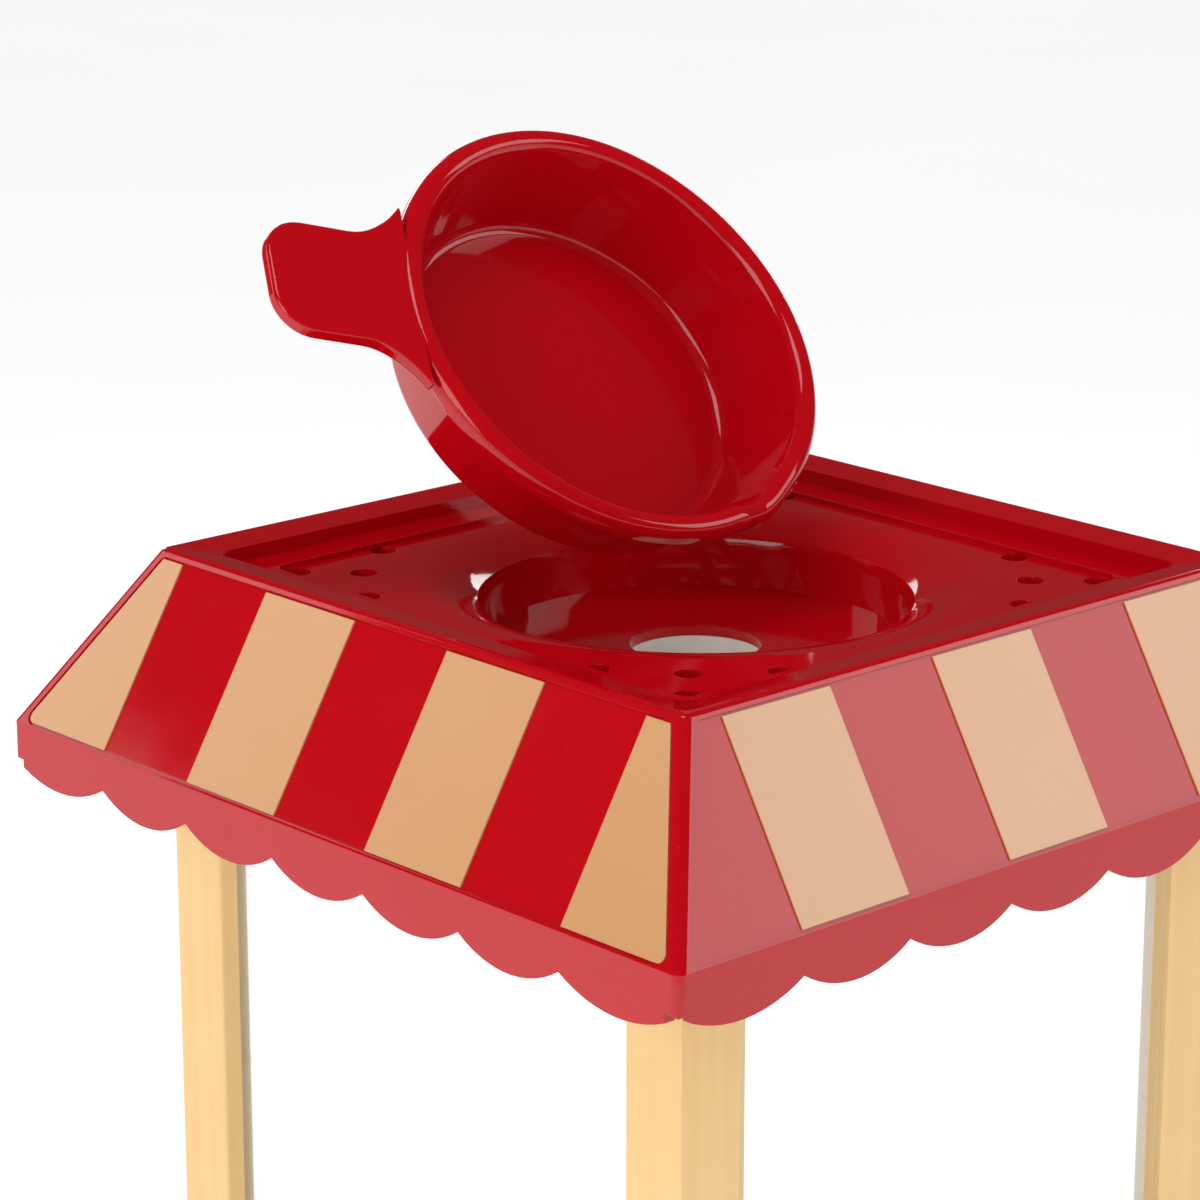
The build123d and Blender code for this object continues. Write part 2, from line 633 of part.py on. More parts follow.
def running_gear():
    with BuildPart() as axle:
        with BuildSketch(Plane.YZ):
            with Locations((AXLE_Y, WHEEL_R)):
                Circle(AXLE_R)
        extrude(amount=WHEEL_X + 6, both=True)
    save(axle, "axle")

    for name, side in (("left", -1), ("right", 1)):
        middle = Plane.YZ.offset(side * WHEEL_X)
        with BuildPart() as wheel:
            with BuildSketch(middle):
                with Locations((AXLE_Y, WHEEL_R)):
                    Circle(WHEEL_R - TYRE_T)
                    Circle(WHEEL_R - TYRE_T - RIM_T, mode=Mode.SUBTRACT)
            extrude(amount=WHEEL_W / 2, both=True)
            with BuildSketch(middle):
                with Locations((AXLE_Y, WHEEL_R)):
                    Circle(HUB_R)
            extrude(amount=8, both=True)
            with BuildSketch(middle):
                with Locations((AXLE_Y, WHEEL_R)):
                    with PolarLocations((HUB_R + WHEEL_R - TYRE_T - RIM_T) / 2, SPOKES, 90):
                        Rectangle(WHEEL_R - TYRE_T - RIM_T - HUB_R + 3, 5)
            extrude(amount=2.5, both=True)
            with BuildSketch(middle):
                with Locations((AXLE_Y, WHEEL_R)):
                    Circle(AXLE_R + RUNNING)
            extrude(amount=10, both=True, mode=Mode.SUBTRACT)
            with BuildSketch(Plane.YZ.offset(side * (WHEEL_X + 4))):
                with Locations((AXLE_Y, WHEEL_R)):
                    Circle(8)
            extrude(amount=side * 5, mode=Mode.SUBTRACT)
        save(wheel, f"wheel_{name}")

        with BuildPart() as tyre:
            with BuildSketch(middle):
                with Locations((AXLE_Y, WHEEL_R)):
                    Circle(WHEEL_R)
                    Circle(WHEEL_R - TYRE_T, mode=Mode.SUBTRACT)
            extrude(amount=WHEEL_W / 2, both=True)
            outside = tyre.edges().filter_by(GeomType.CIRCLE).group_by(SortBy.RADIUS)[-1]
            fillet(outside, 1.5)
        save(tyre, f"tyre_{name}")

        with BuildPart() as cap:
            with BuildSketch(Plane.YZ.offset(side * (WHEEL_X + 8))):
                with Locations((AXLE_Y, WHEEL_R)):
                    Circle(10.5)
            extrude(amount=side * 1.5)
            outer_edge = cap.faces().sort_by(Axis.X)[-1 if side > 0 else 0].edges()
            fillet(outer_edge, 1)
        save(cap, f"hub_cap_{name}")

        with BuildPart() as clip:
            with BuildSketch(Plane.YZ.offset(side * (WHEEL_X + 4.6))):
                with Locations((AXLE_Y, WHEEL_R)):
                    Circle(6.5)
                    Circle(AXLE_R, mode=Mode.SUBTRACT)
            extrude(amount=side)
        save(clip, f"axle_clip_{name}")

        with BuildPart() as leg:
            with BuildSketch(Plane.XY.offset(FOOT_T)):
                with Locations((side * LEG_AT[0], LEG_AT[1])):
                    Circle(8)
            with BuildSketch(Plane.XY.offset(Z_BASE)):
                with Locations((side * LEG_AT[0], LEG_AT[1])):
                    Circle(11)
            loft()
        save(leg, f"leg_{name}")

        with BuildPart() as foot:
            with BuildSketch(Plane.XY):
                with Locations((side * LEG_AT[0], LEG_AT[1])):
                    Circle(9.5)
            extrude(amount=FOOT_T)
            fillet(foot.edges().group_by(Axis.Z)[-1], 1.2)
        save(foot, f"foot_{name}")

        with BuildPart() as arm:
            with BuildSketch(Plane.YZ.offset(side * 62)):
                with BuildLine():
                    Polyline(
                        (BASE / 2, HANDLE_Z - 16), (BASE / 2, HANDLE_Z + 8), (HANDLE_Y, HANDLE_Z + 8),
                        (HANDLE_Y, HANDLE_Z - 6), close=True,
                    )
                make_face()
                with Locations((HANDLE_Y, HANDLE_Z)):
                    Circle(HANDLE_EYE_R)
                    Circle(HANDLE_R, mode=Mode.SUBTRACT)
            extrude(amount=3, both=True)
        save(arm, f"handle_arm_{name}")

    with BuildPart() as bar:
        with BuildSketch(Plane.YZ):
            with Locations((HANDLE_Y, HANDLE_Z)):
                Circle(HANDLE_R)
        extrude(amount=70, both=True)
        fillet(bar.edges(), 1.5)
    save(bar, "push_handle")


def door():
    low = Z_POST + DOOR_GAP
    shoulder = DOOR_Z - 8
    with BuildPart() as flap:
        with BuildSketch(side_plane(0, -DOOR_Y + DOOR_T / 2)):
            with Locations((0, (low + shoulder) / 2)):
                Rectangle(DOOR_W, shoulder - low)
            with Locations((0, (shoulder + DOOR_Z) / 2)):
                Rectangle(DOOR_HINGE_W, DOOR_Z - shoulder)
        extrude(amount=-DOOR_T)
        with BuildSketch(Plane.YZ):
            with Locations((DOOR_Y, DOOR_Z)):
                Circle(PIN_R + 1.4)
        extrude(amount=DOOR_HINGE_W / 2, both=True)
        with BuildSketch(Plane.YZ):
            with Locations((DOOR_Y, DOOR_Z)):
                Circle(PIN_R + RUNNING)
        extrude(amount=DOOR_HINGE_W / 2 + 1, both=True, mode=Mode.SUBTRACT)
    save(flap, "front_door")

    knob_z = low + 22
    with BuildPart() as knob:
        with BuildSketch(Plane(origin=(0, DOOR_Y - DOOR_T / 2, knob_z))):
            with BuildLine():
                Polyline((2, -14), (0, -14), (0, 0), (3, 0), (3, -5), (6, -7), (6, -10))
                TangentArc((6, -10), (2, -14), tangent=(0, -1))
            make_face()
        revolve(axis=Axis((0, DOOR_Y, knob_z), (0, 1, 0)))
    save(knob, "door_knob")

    with BuildPart() as pin:
        with BuildSketch(Plane.YZ):
            with Locations((DOOR_Y, DOOR_Z)):
                Circle(PIN_R)
        extrude(amount=DOOR_HINGE_W / 2 + 3.8, both=True)
    save(pin, "door_pin")

    for name, side in (("left", -1), ("right", 1)):
        with BuildPart() as hanger:
            with BuildSketch(Plane.YZ.offset(side * (DOOR_HINGE_W / 2 + 0.4))):
                with BuildLine():
                    Polyline(
                        (DOOR_Y - 5, DOOR_Z), (DOOR_Y - 5, Z_CEILING), (DOOR_Y + 5, Z_CEILING),
                        (DOOR_Y + 5, DOOR_Z), close=True,
                    )
                make_face()
                with Locations((DOOR_Y, DOOR_Z)):
                    Circle(5)
                    Circle(PIN_R, mode=Mode.SUBTRACT)
            extrude(amount=side * 3.4)
        save(hanger, f"door_hanger_{name}")


def cup():
    a = radians(CUP_TILT)
    mouth = Plane(origin=CUP_AT, x_dir=(1, 0, 0), z_dir=(0, -sin(a), cos(a)))
    section = Plane(origin=CUP_AT, x_dir=(1, 0, 0), z_dir=-mouth.y_dir)
    axis = Axis(mouth.origin, mouth.z_dir)
    t = radians(TAB_ANGLE)
    with BuildPart() as bowl:
        with BuildSketch(mouth):
            with Locations(Location((CUP_RIM_R * cos(t), CUP_RIM_R * sin(t), 0), (0, 0, TAB_ANGLE))):
                RectangleRounded(2 * TAB_L, TAB_W, 9)
        extrude(amount=-TAB_T)
        wall_slope = (CUP_MOUTH_R - CUP_FLOOR_R) / (CUP_DEPTH - CUP_CORNER_R)
        with BuildSketch(section):
            with BuildLine():
                Polyline(
                    (0, -CUP_DEPTH - CUP_WALL),
                    (CUP_FLOOR_R - 1, -CUP_DEPTH - CUP_WALL),
                    (CUP_FLOOR_R + CUP_WALL, -CUP_DEPTH + 1),
                    (CUP_MOUTH_R + CUP_WALL - CUP_ROLL * wall_slope, -CUP_ROLL),
                    (CUP_RIM_R - 1, -CUP_ROLL),
                    (CUP_RIM_R, -CUP_ROLL + 1),
                    (CUP_RIM_R, -ROLL_OUTSIDE),
                )
                crest = ((CUP_RIM_R + CUP_MOUTH_R) / 2, 0)
                ThreePointArc((CUP_RIM_R, -ROLL_OUTSIDE), crest, (CUP_MOUTH_R, -ROLL_INSIDE))
                Polyline(
                    (CUP_MOUTH_R, -ROLL_INSIDE),
                    (0, -ROLL_INSIDE),
                    (0, -CUP_DEPTH - CUP_WALL),
                )
            make_face()
        revolve(axis=axis)
        with BuildSketch(section):
            with BuildLine():
                corner = -CUP_DEPTH + CUP_CORNER_R
                Polyline(
                    (CUP_FLOOR_R - CUP_CORNER_R, -CUP_DEPTH),
                    (0, -CUP_DEPTH),
                    (0, 2),
                    (CUP_MOUTH_R, 2),
                    (CUP_MOUTH_R, -ROLL_INSIDE),
                    (CUP_FLOOR_R, corner),
                )
                TangentArc((CUP_FLOOR_R - CUP_CORNER_R, -CUP_DEPTH), (CUP_FLOOR_R, corner), tangent=(1, 0))
            make_face()
        revolve(axis=axis, mode=Mode.SUBTRACT)
    save(bowl, "measuring_cup")


canopy()
stripe_labels()
roof_inside()
posts()
panes()
base_shell()
popper()
electrics_outside()
running_gear()
door()
cup()
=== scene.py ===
import json
from math import cos, pi, radians, sin

import bmesh
import bpy
from mathutils import Matrix, Vector


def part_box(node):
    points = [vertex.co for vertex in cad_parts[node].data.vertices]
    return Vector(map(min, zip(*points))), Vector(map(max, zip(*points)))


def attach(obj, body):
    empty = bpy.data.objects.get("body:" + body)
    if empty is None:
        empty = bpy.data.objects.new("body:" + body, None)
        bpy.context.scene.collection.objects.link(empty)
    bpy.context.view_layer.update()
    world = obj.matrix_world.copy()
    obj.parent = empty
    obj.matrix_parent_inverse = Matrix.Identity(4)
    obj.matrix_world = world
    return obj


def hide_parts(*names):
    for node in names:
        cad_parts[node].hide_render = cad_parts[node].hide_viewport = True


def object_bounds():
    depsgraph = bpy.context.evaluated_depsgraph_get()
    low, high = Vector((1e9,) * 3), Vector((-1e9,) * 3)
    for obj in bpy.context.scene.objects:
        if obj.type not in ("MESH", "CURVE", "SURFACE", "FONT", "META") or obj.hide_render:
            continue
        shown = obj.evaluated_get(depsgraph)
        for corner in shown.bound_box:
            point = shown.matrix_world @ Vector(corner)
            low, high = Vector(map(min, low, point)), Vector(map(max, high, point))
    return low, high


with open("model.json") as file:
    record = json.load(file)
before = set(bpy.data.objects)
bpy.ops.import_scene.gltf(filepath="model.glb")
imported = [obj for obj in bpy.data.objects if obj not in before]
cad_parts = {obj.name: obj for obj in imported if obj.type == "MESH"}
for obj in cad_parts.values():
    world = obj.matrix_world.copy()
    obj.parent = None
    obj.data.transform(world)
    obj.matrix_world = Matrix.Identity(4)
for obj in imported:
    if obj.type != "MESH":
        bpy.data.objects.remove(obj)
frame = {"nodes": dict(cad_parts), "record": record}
cad_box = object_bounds()
nodes = frame["nodes"]
MM = 0.001
AWNING_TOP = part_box("canopy_shell")[1].z
EYE = Vector((-0.5788, -0.6003, AWNING_TOP + 0.2278))
LOOK_TURN = radians(42.57)  # from +Y towards +X
LOOK_DOWN = radians(15.93)
LENS = 123.6
MERGE = 1e-6  # points nearer than this are one point
FLAT = radians(0.6)  # faces that turn less than this against each other are one face
SHARP = radians(28)  # edges that turn more than this are rounded over
SLACK = 0.05 * MM  # between the axle and a hub
WHITE = (1, 1, 1, 1)

# ---------------------------------------------------------------- shader helpers


class Value:
    """A socket in a node tree that can stand in sums and products."""

    def __init__(self, owner, socket):
        self.owner = owner
        self.socket = socket

    def maths(self, operation, first, second):
        return self.owner.node("ShaderNodeMath", {"operation": operation}, {0: first, 1: second})

    def __add__(self, other):
        return self.maths("ADD", self, other)

    def __radd__(self, other):
        return self.maths("ADD", other, self)

    def __sub__(self, other):
        return self.maths("SUBTRACT", self, other)

    def __rsub__(self, other):
        return self.maths("SUBTRACT", other, self)

    def __mul__(self, other):
        return self.maths("MULTIPLY", self, other)

    def __rmul__(self, other):
        return self.maths("MULTIPLY", other, self)

    def __truediv__(self, other):
        return self.maths("DIVIDE", self, other)

    def __rtruediv__(self, other):
        return self.maths("DIVIDE", other, self)


def set_stops(mapping, stops):
    """Bends a curve node's line through the stops, which run from 0 to 1."""
    points = mapping.curves[0].points
    points[0].location = stops[0]
    points[1].location = stops[-1]
    for stop in stops[1:-1]:
        points.new(*stop)
    mapping.update()


class Nodes:
    """A node tree whose nodes are made one by one."""

    def __init__(self, tree):
        self.tree = tree
        tree.nodes.clear()

    def node(self, kind, settings=None, sockets=None, out=0):
        """Any node: its settings first, then the values or links of its sockets."""
        node = self.tree.nodes.new(kind)
        for key, value in (settings or {}).items():
            if key == "stops":
                set_stops(node.mapping, value)
            else:
                setattr(node, key, value)
        for key, item in (sockets or {}).items():
            for value in item if isinstance(item, list) else [item]:
                if isinstance(value, Value):
                    self.tree.links.new(value.socket, node.inputs[key])
                else:
                    node.inputs[key].default_value = value
        return Value(self, node.outputs[out]) if node.outputs else None


class Finish(Nodes):
    """One material, made by chaining nodes from its object coordinates to its shader."""

    def __init__(self, name):
        self.material = bpy.data.materials.new(name)
        self.material.use_nodes = True
        super().__init__(self.material.node_tree)
        self.place = self.node("ShaderNodeTexCoord", out="Object")

    def stretched(self, x, y, z):
        """Object coordinates scaled apart along the three axes."""
        return self.node("ShaderNodeMapping", sockets={"Vector": self.place, "Scale": (x, y, z)})

    def noise(self, scale, detail=3.0, rough=0.5, where=None, seed=0.0):
        return self.node(
            "ShaderNodeTexNoise",
            {"noise_dimensions": "4D"},
            {"Vector": where or self.place, "W": seed, "Scale": scale, "Detail": detail, "Roughness": rough},
        )

    def between(self, value, low, high):
        """Where value lies from low to high, as 0 to 1."""
        return self.node("ShaderNodeMapRange", sockets={"Value": value, "From Min": low, "From Max": high})

    def blend(self, share, first, second):
        """Colour first where share is 0, second where it is 1."""
        return self.node("ShaderNodeMix", {"data_type": "RGBA"}, {0: share, 6: first, 7: second}, 2)

    def bump(self, height, strength, distance):
        sockets = {"Height": height, "Strength": strength, "Distance": distance}
        return self.node("ShaderNodeBump", sockets=sockets)

    def surface(self, base, roughness, normal=None, **constants):
        """Ends the finish in a Principled shader. Constants go on its own sockets."""
        sockets = {"Base Color": base, "Roughness": roughness}
        sockets.update({key.replace("_", " "): value for key, value in constants.items()})
        if normal:
            sockets["Normal"] = normal
        return self.end(self.node("ShaderNodeBsdfPrincipled", sockets=sockets))

    def end(self, shader):
        self.node("ShaderNodeOutputMaterial", sockets={"Surface": shader})
        return self.material


def paint(red, green, blue):
    """Linear colour from the usual 0 to 255 numbers."""
    return tuple(((value / 255 + 0.055) / 1.055) ** 2.4 for value in (red, green, blue)) + (1,)


# ---------------------------------------------------------------- finishes


def polished_red(name, gloss):
    """Polished red moulding: faint flow marks, a very slight wave, fingered patches and fine dust."""
    finish = Finish(name)
    flow = finish.noise(14, 4, 0.55, finish.stretched(1, 1, 0.35))
    haze = finish.between(finish.noise(32, 3, 0.6, seed=4), 0.5, 0.8)
    dust = finish.between(finish.noise(1100, 2, 0.6, seed=2), 0.66, 0.8)
    base = finish.blend(flow, paint(176, 1, 15), paint(190, 2, 18))
    base = finish.blend(dust * 0.05, base, paint(225, 130, 130))
    wave = finish.noise(30, 2, 0.4, seed=7)
    return finish.surface(base, gloss + haze * 0.07 + dust * 0.1, finish.bump(wave, 0.03, 0.001))


def label_film():
    """Glossy tan-gold film with fine print grain and slightly uneven ink."""
    finish = Finish("label film")
    grain = finish.noise(1500, 2, 0.7)
    uneven = finish.noise(24, 3, 0.5, seed=3)
    ink = finish.blend(uneven, paint(208, 148, 92), paint(216, 158, 102))
    base = finish.blend(grain * 0.25, ink, paint(196, 138, 84))
    rough = 0.24 + uneven * 0.08 + grain * 0.06
    return finish.surface(base, rough, finish.bump(grain, 0.05, 0.0002), IOR=1.9)


def post_paint():
    """Cream-gold paint on drawn metal: fine upright lines and rubbed patches."""
    finish = Finish("post paint")
    lines = finish.noise(420, 3, 0.6, finish.stretched(1, 1, 0.012))
    rubbed = finish.between(finish.noise(22, 4, 0.6, seed=5), 0.45, 0.75)
    base = finish.blend(lines, paint(226, 184, 118), paint(240, 202, 138))
    base = finish.blend(rubbed * 0.2, base, paint(250, 222, 176))
    rough = 0.34 + lines * 0.12 - rubbed * 0.06
    return finish.surface(base, rough, finish.bump(lines, 0.12, 0.0003), Metallic=0.1)


def cream_moulding(name):
    """Cream plastic with flow marks, a light grain and short scuffs."""
    finish = Finish(name)
    flow = finish.noise(18, 4, 0.55)
    grain = finish.noise(700, 2, 0.6, seed=2)
    scuffs = finish.between(finish.noise(160, 5, 0.75, finish.stretched(1, 0.3, 1), 6), 0.62, 0.74)
    base = finish.blend(flow, paint(232, 196, 140), paint(242, 210, 158))
    base = finish.blend(scuffs * 0.18, base, paint(205, 168, 118))
    rough = 0.26 + grain * 0.1 + scuffs * 0.15
    return finish.surface(base, rough, finish.bump(grain, 0.05, 0.0003))


def clear_sheet():
    """Clear plastic: see-through face on, brighter at a glancing angle, with faint wiping marks."""
    finish = Finish("clear sheet")
    wiped = finish.between(finish.noise(60, 5, 0.7, finish.stretched(1, 1, 0.25)), 0.45, 0.8)
    gloss = finish.node(
        "ShaderNodeBsdfPrincipled",
        sockets={"Base Color": (0.92, 0.94, 0.94, 1), "Roughness": 0.03 + wiped * 0.06},
    )
    through = finish.node("ShaderNodeBsdfTransparent", sockets={"Color": (0.992, 0.996, 0.996, 1)})
    glance = finish.node("ShaderNodeFresnel", sockets={"IOR": 1.25})
    share = glance * 0.5 + wiped * 0.006 + 0.002
    return finish.end(finish.node("ShaderNodeMixShader", sockets={0: share, 1: through, 2: gloss}))


def moulding(name, dark, light, rough, grain_scale=600, grain_depth=0.0003, strength=0.15):
    """Plain moulded plastic with a fine even grain and slightly cloudy colour."""
    finish = Finish(name)
    grain = finish.noise(grain_scale, 3, 0.6)
    cloud = finish.noise(25, 3, 0.5, seed=8)
    base = finish.blend(cloud * 0.7 + grain * 0.3, dark, light)
    return finish.surface(base, rough + grain * 0.12, finish.bump(grain, strength, grain_depth))


def drawn_metal(name, dark, light, rough, stretch):
    """Bare metal with drawing or rolling lines and a light stain."""
    finish = Finish(name)
    lines = finish.noise(300, 4, 0.6, finish.stretched(*stretch))
    stain = finish.between(finish.noise(40, 4, 0.6, seed=3), 0.45, 0.8)
    base = finish.blend(lines, dark, light)
    base = finish.blend(stain * 0.25, base, dark)
    rough = rough + lines * 0.12 + stain * 0.1
    return finish.surface(base, rough, finish.bump(lines, 0.1, 0.0002), Metallic=1.0)


def tyre_rubber():
    """Black rubber with a matt grain and a grey bloom."""
    finish = Finish("rubber")
    grain = finish.noise(800, 3, 0.6)
    bloom = finish.between(finish.noise(45, 4, 0.6, seed=2), 0.45, 0.75)
    base = finish.blend(bloom, (0.018, 0.018, 0.019, 1), (0.05, 0.05, 0.052, 1))
    return finish.surface(base, 0.55 + grain * 0.2, finish.bump(grain, 0.25, 0.0004))


FINISHES = {
    "canopy_red": polished_red("roof red", 0.06),
    "cup_red": polished_red("cup red", 0.05),
    "base_red": polished_red("base red", 0.12),
    "trim_red": polished_red("trim red", 0.12),
    "leg_red": polished_red("leg red", 0.16),
    "label_cream": label_film(),
    "post_cream": post_paint(),
    "deck_cream": cream_moulding("deck cream"),
    "wheel_cream": cream_moulding("wheel cream"),
    "handle_cream": cream_moulding("handle cream"),
    "clear_plastic": clear_sheet(),
    "inner_plastic": moulding("inner moulding", paint(214, 210, 200), paint(232, 229, 221), 0.42),
    "chamber_aluminium": drawn_metal(
        "chamber", (0.62, 0.62, 0.61, 1), (0.82, 0.82, 0.81, 1), 0.24, (1, 1, 0.05)
    ),
    "steel": drawn_metal("plated steel", (0.38, 0.38, 0.39, 1), (0.58, 0.58, 0.57, 1), 0.26, (0.05, 1, 1)),
    "fan_plastic": moulding("fan moulding", (0.02, 0.02, 0.021, 1), (0.045, 0.045, 0.047, 1), 0.45),
    "mica": moulding("mica", paint(150, 134, 98), paint(196, 180, 140), 0.3, 180, 0.0005, 0.3),
    "heater_wire": drawn_metal("heater wire", (0.12, 0.09, 0.08, 1), (0.3, 0.24, 0.2, 1), 0.4, (1, 1, 1)),
    "fuse_ceramic": moulding("fuse body", paint(226, 222, 208), paint(240, 238, 228), 0.35),
    "board": moulding("circuit board", paint(18, 78, 40), paint(30, 104, 56), 0.32, 240),
    "black_plastic": moulding("black moulding", (0.012, 0.012, 0.012, 1), (0.03, 0.03, 0.031, 1), 0.36),
    "rubber": tyre_rubber(),
}
SLOTS = {part["node"]: part["material_slot"] for part in frame["record"]["subparts"]}
BODIES = {node: body for body, members in frame["record"]["behaviour"]["bodies"].items() for node in members}

for name, slot in SLOTS.items():
    nodes[name].data.materials.clear()
    nodes[name].data.materials.append(FINISHES[slot])

# ---------------------------------------------------------------- making pieces


def add_object(name, mesh):
    piece = bpy.data.objects.new(name, mesh)
    bpy.context.scene.collection.objects.link(piece)
    return piece


def apply_modifiers(piece):
    """Turns a piece and its modifiers into one plain mesh."""
    bpy.context.view_layer.update()
    made = piece.evaluated_get(bpy.context.evaluated_depsgraph_get())
    mesh = bpy.data.meshes.new_from_object(made)
    piece.modifiers.clear()
    piece.data = mesh


def hand_over(piece, *replaced):
    """A finished piece takes the body and the finish of the nodes that it stands for."""
    first = replaced[0]
    piece.data.materials.clear()
    piece.data.materials.append(FINISHES[SLOTS[first]])
    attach(piece, BODIES[first])
    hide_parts(*replaced)


class Repeat(Nodes):
    """Geometry nodes that make what repeats. Each size is a named input of the tree."""

    def __init__(self, name, sizes):
        tree = bpy.data.node_groups.new(name, "GeometryNodeTree")
        super().__init__(tree)
        self.sizes = sizes
        tree.interface.new_socket("Geometry", in_out="OUTPUT", socket_type="NodeSocketGeometry")
        for key, value in sizes.items():
            kind = "NodeSocketInt" if isinstance(value, int) else "NodeSocketFloat"
            tree.interface.new_socket(key, in_out="INPUT", socket_type=kind)
        given = tree.nodes.new("NodeGroupInput")
        self.size = {key: Value(self, given.outputs[key]) for key in sizes}

    def vector(self, **parts):
        return self.node("ShaderNodeCombineXYZ", sockets=parts)

    def moved(self, geometry, **change):
        """Geometry after a Translation, Rotation or Scale."""
        return self.node("GeometryNodeTransform", sockets={"Geometry": geometry, **change})

    def block(self, size, height):
        """A box of a size whose middle is raised by height."""
        box = self.node("GeometryNodeMeshCube", sockets={"Size": size})
        return self.moved(box, Translation=(0, 0, height))

    def make(self, name, instances, finish, smooth=False):
        """The plain mesh of the instances, with the tree's sizes on its modifier."""
        shape = self.node("GeometryNodeRealizeInstances", sockets={0: instances})
        if smooth:
            shape = self.node("GeometryNodeSetShadeSmooth", sockets={0: shape})
        shape = self.node("GeometryNodeSetMaterial", sockets={"Geometry": shape, "Material": finish})
        self.node("NodeGroupOutput", sockets={0: shape})
        piece = add_object(name, bpy.data.meshes.new(name))
        made = piece.modifiers.new("tree", "NODES")
        made.node_group = self.tree
        for item in self.tree.interface.items_tree:
            if item.in_out == "INPUT":
                made[item.identifier] = self.sizes[item.name]
        apply_modifiers(piece)
        return piece


def soften(name, width, segments=3):
    """A copy of a node with its sharp edges rounded over by width millimetres."""
    shape = bmesh.new()
    shape.from_mesh(nodes[name].data)
    bmesh.ops.remove_doubles(shape, verts=shape.verts, dist=MERGE)
    bmesh.ops.dissolve_limit(shape, angle_limit=FLAT, verts=shape.verts, edges=shape.edges)
    mesh = bpy.data.meshes.new(f"{name}_soft")
    shape.to_mesh(mesh)
    shape.free()
    piece = add_object(f"{name}_soft", mesh)
    rounding = piece.modifiers.new("rounding", "BEVEL")
    rounding.width = width * MM
    rounding.segments = segments
    rounding.limit_method = "ANGLE"
    rounding.angle_limit = SHARP
    rounding.harden_normals = True
    apply_modifiers(piece)
    hand_over(piece, name)


SOFTENED = {
    "canopy_shell": 0.5,
    "base_housing": 0.6,
    "popcorn_deck": 0.4,
    "post_front_left": 0.7,
    "post_front_right": 0.7,
    "post_back_left": 0.7,
    "post_back_right": 0.7,
    "handle_arm_left": 0.6,
    "handle_arm_right": 0.6,
    "door_hanger_left": 0.4,
    "door_hanger_right": 0.4,
    "switch_body": 0.5,
    "switch_rocker": 0.4,
    "kernel_chute": 0.4,
    "ceiling_panel": 0.4,
    "front_door": 0.35,
    "window_back": 0.3,
    "window_left": 0.3,
    "window_right": 0.3,
    "popping_chamber": 0.2,
    "rectifier_board": 0.2,
    "bottom_plate": 0.4,
    "mica_formers": 0.1,
    "thermostat": 0.3,
}


# ---------------------------------------------------------------- measuring cup

CUP_TILT = radians(48)
CUP_MIDDLE = Vector((0, 24.5 * MM, AWNING_TOP + 45 * MM))
CUP_RIM_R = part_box("measuring_cup")[1].x
CUP_MOUTH_R = CUP_RIM_R - 5.5 * MM
CUP_FLOOR_R = CUP_RIM_R - 10.5 * MM
CUP_DEPTH = 23 * MM
CUP_WALL = 2 * MM
FOOT_RING = 0.6 * MM  # how far the cup stands on its ring
TAB_TURN = radians(160.7)
TAB_REACH = 31 * MM
TAB_HALF = 13.5 * MM
TAB_THICK = 3.4 * MM
TAB_ROOT = 9 * MM  # how far the tab's sides flare out where they meet the rim
TAB_FLARE = 14 * MM  # how far along the tab that flare runs
TAB_TOP = -0.5 * MM
TAB_ROUND = 9 * MM
CUP_CORNER = 3 * MM
LIP_BAND = 8 * MM  # how far down the wall the pour lip reaches
LIP_TURN = radians(-71.4)  # where the kernels leave the cup
LIP_HALF = radians(13)
LIP_DROP = 1.5 * MM


def arc(middle, radius, start, end, steps):
    """Points on an arc in a section, with its angles in degrees from the section's first axis."""
    turns = [radians(start + (end - start) * i / steps) for i in range(steps + 1)]
    return [(middle[0] + radius * cos(t), middle[1] + radius * sin(t)) for t in turns]


def lathe(section, steps, close=True):
    """A ring or a disc-like shape turned round Z from a section of (radius, height) points."""
    shape = bmesh.new()
    rings = []
    for radius, height in section:
        if radius < MERGE:
            rings.append([shape.verts.new((0, 0, height))] * steps)
            continue
        turns = [2 * pi * i / steps for i in range(steps)]
        rings.append([shape.verts.new((radius * cos(t), radius * sin(t), height)) for t in turns])
    pairs = list(zip(rings, rings[1:])) + ([(rings[-1], rings[0])] if close else [])
    for lower, upper in pairs:
        for i in range(steps):
            j = (i + 1) % steps
            corners = list(dict.fromkeys((lower[i], lower[j], upper[j], upper[i])))
            if len(corners) > 2:
                shape.faces.new(corners)
    bmesh.ops.recalc_face_normals(shape, faces=shape.faces)
    return shape


def cup_section():
    """Half section of the cup: floor, rounded corner, tapered wall and rolled rim."""
    corner = CUP_CORNER
    roll = (CUP_RIM_R - CUP_MOUTH_R) / 2
    outside = CUP_FLOOR_R + CUP_WALL
    lip = (CUP_MOUTH_R + roll, -roll)
    section = [(0, -CUP_DEPTH)]
    section += arc((CUP_FLOOR_R - corner, -CUP_DEPTH + corner), corner, -90, -12, 8)
    section += arc(lip, roll, 168, 0, 16)
    section += arc((CUP_RIM_R - 1 * MM, -4.2 * MM), 1 * MM, 0, -90, 4)
    section += arc((CUP_MOUTH_R + CUP_WALL, -6.4 * MM), 1.2 * MM, 90, 180, 4)
    section += arc((outside - corner, -CUP_DEPTH - CUP_WALL + corner), corner, -10, -90, 6)
    underside = -CUP_DEPTH - CUP_WALL
    foot = underside + FOOT_RING
    section += [(outside - 9 * MM, underside), (outside - 10 * MM, foot), (0, foot)]
    return section


